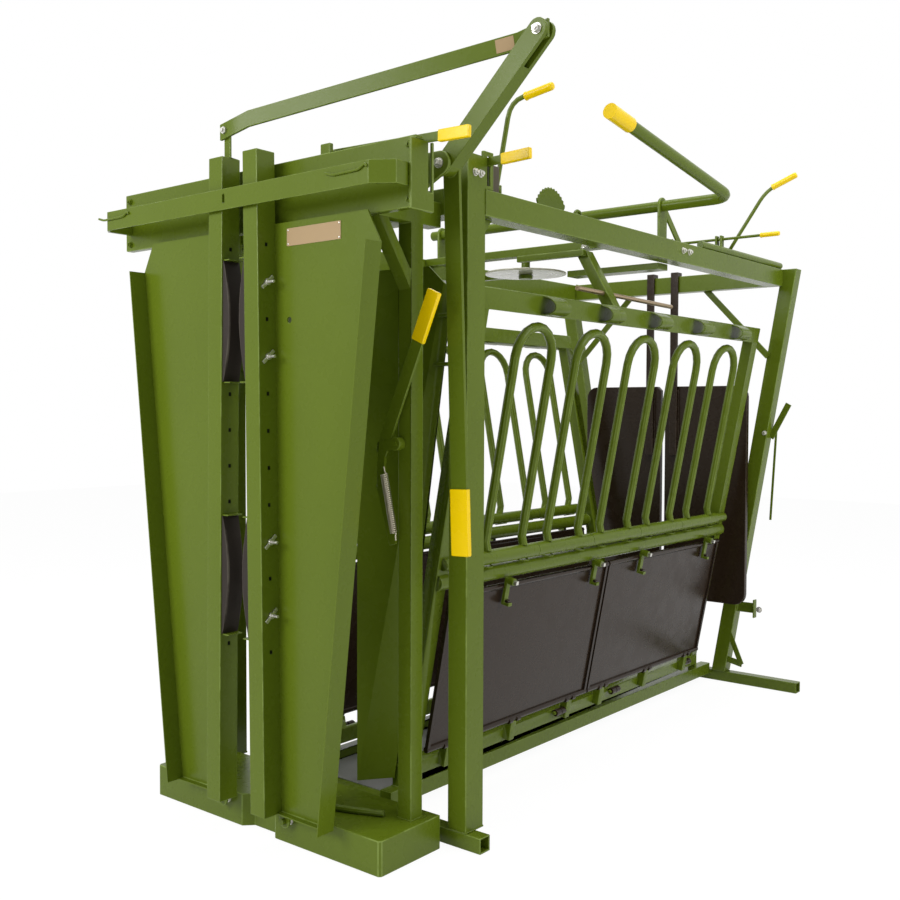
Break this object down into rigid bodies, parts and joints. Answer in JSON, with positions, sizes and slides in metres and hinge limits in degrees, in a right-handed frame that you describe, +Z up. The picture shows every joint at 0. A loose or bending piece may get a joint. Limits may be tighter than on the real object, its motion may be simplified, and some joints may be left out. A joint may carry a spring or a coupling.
{
  "type": "cattle squeeze chute",
  "caption": "Welded steel livestock squeeze chute: scissor headgate, two leaning squeeze sides with drop hoops and panels, sliding tailgate and hand levers on an open frame.",
  "frame": {"origin": "on the ground under the middle of the headgate base", "axes": "+X across the chute towards the operator's side, +Y along the chute from the headgate to the tail, +Z up"},
  "size_m": [1.664, 2.93, 2.417],
  "materials": {
    "green_paint": "satin-gloss olive green paint over welded steel",
    "yellow_vinyl": "dipped yellow vinyl grip",
    "black_paint": "glossy brown-black paint on sheet steel",
    "rubber": "matt black moulded rubber",
    "galvanised": "pale metal floor sheet",
    "zinc": "bright zinc plating"
  },
  "bodies": {
    "frame": {"headgate_base": "green_paint", "front_foot": "green_paint", "rear_foot": "green_paint", "rear_rail": "green_paint", "front_rail": "green_paint", "front_cross_beam": "green_paint", "rear_cross_beam": "green_paint", "disc_carrier": "green_paint", "floor_frame": "galvanised", "guide_pipe": "green_paint", "base_pipe": "green_paint", "headgate_post_near": "green_paint", "main_post_near": "green_paint", "top_beam_near": "green_paint", "rear_post_near": "green_paint", "stop_block_near": "rubber", "headgate_post_far": "green_paint", "main_post_far": "green_paint", "top_beam_far": "green_paint", "rear_post_far": "green_paint", "stop_block_far": "rubber"},
    "headgate_lever": {"headgate_lever": "green_paint", "headgate_lever_grip": "yellow_vinyl"},
    "headgate_link": {"headgate_link": "green_paint"},
    "door_near": {"door_near": "green_paint", "neck_pad_near_lower": "rubber", "neck_pad_near_upper": "rubber"},
    "door_far": {"door_far": "green_paint", "neck_pad_far_lower": "rubber", "neck_pad_far_upper": "rubber"},
    "squeeze_tube": {"squeeze_tube": "green_paint", "squeeze_tube_grip": "yellow_vinyl"},
    "equaliser_disc": {"equaliser_disc": "green_paint"},
    "side_near": {"side_frame_near": "green_paint"},
    "equaliser_link_near": {"equaliser_link_near": "green_paint"},
    "hoop_near_1": {"hoop_near_1": "green_paint"},
    "hoop_near_2": {"hoop_near_2": "green_paint"},
    "hoop_near_3": {"hoop_near_3": "green_paint"},
    "hoop_near_4": {"hoop_near_4": "green_paint"},
    "hoop_near_5": {"hoop_near_5": "green_paint"},
    "drop_panel_near_front": {"drop_panel_near_front": "black_paint"},
    "drop_panel_near_rear": {"drop_panel_near_rear": "black_paint"},
    "side_far": {"side_frame_far": "green_paint"},
    "equaliser_link_far": {"equaliser_link_far": "green_paint"},
    "hoop_far_1": {"hoop_far_1": "green_paint"},
    "hoop_far_2": {"hoop_far_2": "green_paint"},
    "hoop_far_3": {"hoop_far_3": "green_paint"},
    "hoop_far_4": {"hoop_far_4": "green_paint"},
    "hoop_far_5": {"hoop_far_5": "green_paint"},
    "drop_panel_far_front": {"drop_panel_far_front": "black_paint"},
    "drop_panel_far_rear": {"drop_panel_far_rear": "black_paint"},
    "tail_lever": {"tail_lever": "green_paint"},
    "tail_panel_near": {"tail_panel_near": "black_paint"},
    "tail_panel_far": {"tail_panel_far": "black_paint"},
    "side_lever": {"side_lever": "green_paint"},
    "headgate_lock_lever": {"headgate_lock_lever": "green_paint"},
    "squeeze_lock_lever": {"squeeze_lock_lever": "green_paint"},
    "release_lever": {"release_lever": "green_paint", "release_spring": "zinc"},
    "pull_rod": {"pull_rod": "green_paint"}
  },
  "joints": [
    {"name": "headgate_lever_turn", "type": "hinge", "parent": "frame", "child": "headgate_lever", "pos_m": [0.605, -0.136, 2.07], "axis": [0, -1, 0], "range_deg": [0, 65]},
    {"name": "headgate_link_turn", "type": "hinge", "parent": "headgate_lever", "child": "headgate_link", "pos_m": [0.935, -0.136, 2.388], "axis": [0, -1, 0], "range_deg": [-58, 0]},
    {"name": "door_near_swing", "type": "hinge", "parent": "frame", "child": "door_near", "pos_m": [0.15, -0.136, 0.08], "axis": [0, 1, 0], "range_deg": [0, 12.5]},
    {"name": "door_far_swing", "type": "hinge", "parent": "frame", "child": "door_far", "pos_m": [-0.15, -0.136, 0.08], "axis": [0, -1, 0], "range_deg": [0, 12.5]},
    {"name": "squeeze_tube_turn", "type": "hinge", "parent": "frame", "child": "squeeze_tube", "pos_m": [0, 1.464, 2.165], "axis": [1, 0, 0], "range_deg": [0, 55]},
    {"name": "equaliser_disc_turn", "type": "hinge", "parent": "frame", "child": "equaliser_disc", "pos_m": [0, 1.331, 1.93], "axis": [0, 0, 1], "range_deg": [0, 60]},
    {"name": "side_near_squeeze", "type": "hinge", "parent": "frame", "child": "side_near", "pos_m": [0.2175, -0.136, 0.1315], "axis": [0, -1, 0], "range_deg": [0, 6.5]},
    {"name": "equaliser_link_near_turn", "type": "hinge", "parent": "side_near", "child": "equaliser_link_near", "pos_m": [0.39, -0.136, 1.958], "axis": [0, -1, 0], "range_deg": [-6.5, 0]},
    {"name": "hoop_near_1_drop", "type": "hinge", "parent": "side_near", "child": "hoop_near_1", "pos_m": [0.38557, -0.136, 0.8456], "axis": [0, 1, 0], "range_deg": [0, 105]},
    {"name": "hoop_near_2_drop", "type": "hinge", "parent": "side_near", "child": "hoop_near_2", "pos_m": [0.38557, -0.136, 0.8456], "axis": [0, 1, 0], "range_deg": [0, 105]},
    {"name": "hoop_near_3_drop", "type": "hinge", "parent": "side_near", "child": "hoop_near_3", "pos_m": [0.38557, -0.136, 0.8456], "axis": [0, 1, 0], "range_deg": [0, 105]},
    {"name": "hoop_near_4_drop", "type": "hinge", "parent": "side_near", "child": "hoop_near_4", "pos_m": [0.38557, -0.136, 0.8456], "axis": [0, 1, 0], "range_deg": [0, 105]},
    {"name": "hoop_near_5_drop", "type": "hinge", "parent": "side_near", "child": "hoop_near_5", "pos_m": [0.38557, -0.136, 0.8456], "axis": [0, 1, 0], "range_deg": [0, 105]},
    {"name": "drop_panel_near_front_open", "type": "hinge", "parent": "side_near", "child": "drop_panel_near_front", "pos_m": [0.27489, -0.136, 0.19683], "axis": [0, 1, 0], "range_deg": [0, 85]},
    {"name": "drop_panel_near_rear_open", "type": "hinge", "parent": "side_near", "child": "drop_panel_near_rear", "pos_m": [0.27489, -0.136, 0.19683], "axis": [0, 1, 0], "range_deg": [0, 85]},
    {"name": "side_far_squeeze", "type": "hinge", "parent": "frame", "child": "side_far", "pos_m": [-0.2175, -0.136, 0.1315], "axis": [0, 1, 0], "range_deg": [0, 6.5]},
    {"name": "equaliser_link_far_turn", "type": "hinge", "parent": "side_far", "child": "equaliser_link_far", "pos_m": [-0.39, -0.136, 1.958], "axis": [0, 1, 0], "range_deg": [-6.5, 0]},
    {"name": "hoop_far_1_drop", "type": "hinge", "parent": "side_far", "child": "hoop_far_1", "pos_m": [-0.38557, -0.136, 0.8456], "axis": [0, -1, 0], "range_deg": [0, 105]},
    {"name": "hoop_far_2_drop", "type": "hinge", "parent": "side_far", "child": "hoop_far_2", "pos_m": [-0.38557, -0.136, 0.8456], "axis": [0, -1, 0], "range_deg": [0, 105]},
    {"name": "hoop_far_3_drop", "type": "hinge", "parent": "side_far", "child": "hoop_far_3", "pos_m": [-0.38557, -0.136, 0.8456], "axis": [0, -1, 0], "range_deg": [0, 105]},
    {"name": "hoop_far_4_drop", "type": "hinge", "parent": "side_far", "child": "hoop_far_4", "pos_m": [-0.38557, -0.136, 0.8456], "axis": [0, -1, 0], "range_deg": [0, 105]},
    {"name": "hoop_far_5_drop", "type": "hinge", "parent": "side_far", "child": "hoop_far_5", "pos_m": [-0.38557, -0.136, 0.8456], "axis": [0, -1, 0], "range_deg": [0, 105]},
    {"name": "drop_panel_far_front_open", "type": "hinge", "parent": "side_far", "child": "drop_panel_far_front", "pos_m": [-0.27489, -0.136, 0.19683], "axis": [0, -1, 0], "range_deg": [0, 85]},
    {"name": "drop_panel_far_rear_open", "type": "hinge", "parent": "side_far", "child": "drop_panel_far_rear", "pos_m": [-0.27489, -0.136, 0.19683], "axis": [0, -1, 0], "range_deg": [0, 85]},
    {"name": "tail_lever_turn", "type": "hinge", "parent": "frame", "child": "tail_lever", "pos_m": [0.545, 2.114, 2.059], "axis": [0, 1, 0], "range_deg": [0, 30]},
    {"name": "tail_panel_near_slide", "type": "slide", "parent": "frame", "child": "tail_panel_near", "axis": [1, 0, 0], "range_m": [0, 0.3]},
    {"name": "tail_panel_far_slide", "type": "slide", "parent": "frame", "child": "tail_panel_far", "axis": [-1, 0, 0], "range_m": [0, 0.3]},
    {"name": "side_lever_turn", "type": "hinge", "parent": "frame", "child": "side_lever", "pos_m": [0.545, 0.384, 2.059], "axis": [0, 1, 0], "range_deg": [0, 30]},
    {"name": "headgate_lock_turn", "type": "hinge", "parent": "frame", "child": "headgate_lock_lever", "pos_m": [0.3, -0.076, 2.122], "axis": [0, 1, 0], "range_deg": [0, 8]},
    {"name": "squeeze_lock_turn", "type": "hinge", "parent": "frame", "child": "squeeze_lock_lever", "pos_m": [0.25, 0.283, 2.108], "axis": [0, 1, 0], "range_deg": [0, 5]},
    {"name": "release_lever_turn", "type": "hinge", "parent": "frame", "child": "release_lever", "pos_m": [0.455, 0.014, 1.252], "axis": [0, 1, 0], "range_deg": [0, 18]},
    {"name": "pull_rod_slide", "type": "slide", "parent": "frame", "child": "pull_rod", "axis": [1, 0, 0], "range_m": [0, 0.08]}
  ],
  "couplings": [
    {"joint": "headgate_link_turn", "follows": "headgate_lever_turn", "ratio": -0.871},
    {"joint": "door_near_swing", "follows": "headgate_lever_turn", "ratio": 0.184},
    {"joint": "door_far_swing", "follows": "headgate_lever_turn", "ratio": 0.184},
    {"joint": "equaliser_disc_turn", "follows": "squeeze_tube_turn", "ratio": 1},
    {"joint": "side_near_squeeze", "follows": "squeeze_tube_turn", "ratio": 0.10909},
    {"joint": "equaliser_link_near_turn", "follows": "squeeze_tube_turn", "ratio": -0.10909},
    {"joint": "side_far_squeeze", "follows": "squeeze_tube_turn", "ratio": 0.10909},
    {"joint": "equaliser_link_far_turn", "follows": "squeeze_tube_turn", "ratio": -0.10909},
    {"joint": "tail_panel_near_slide", "follows": "tail_lever_turn", "m_per_rad": 0.572},
    {"joint": "tail_panel_far_slide", "follows": "tail_lever_turn", "m_per_rad": 0.572}
  ]
}
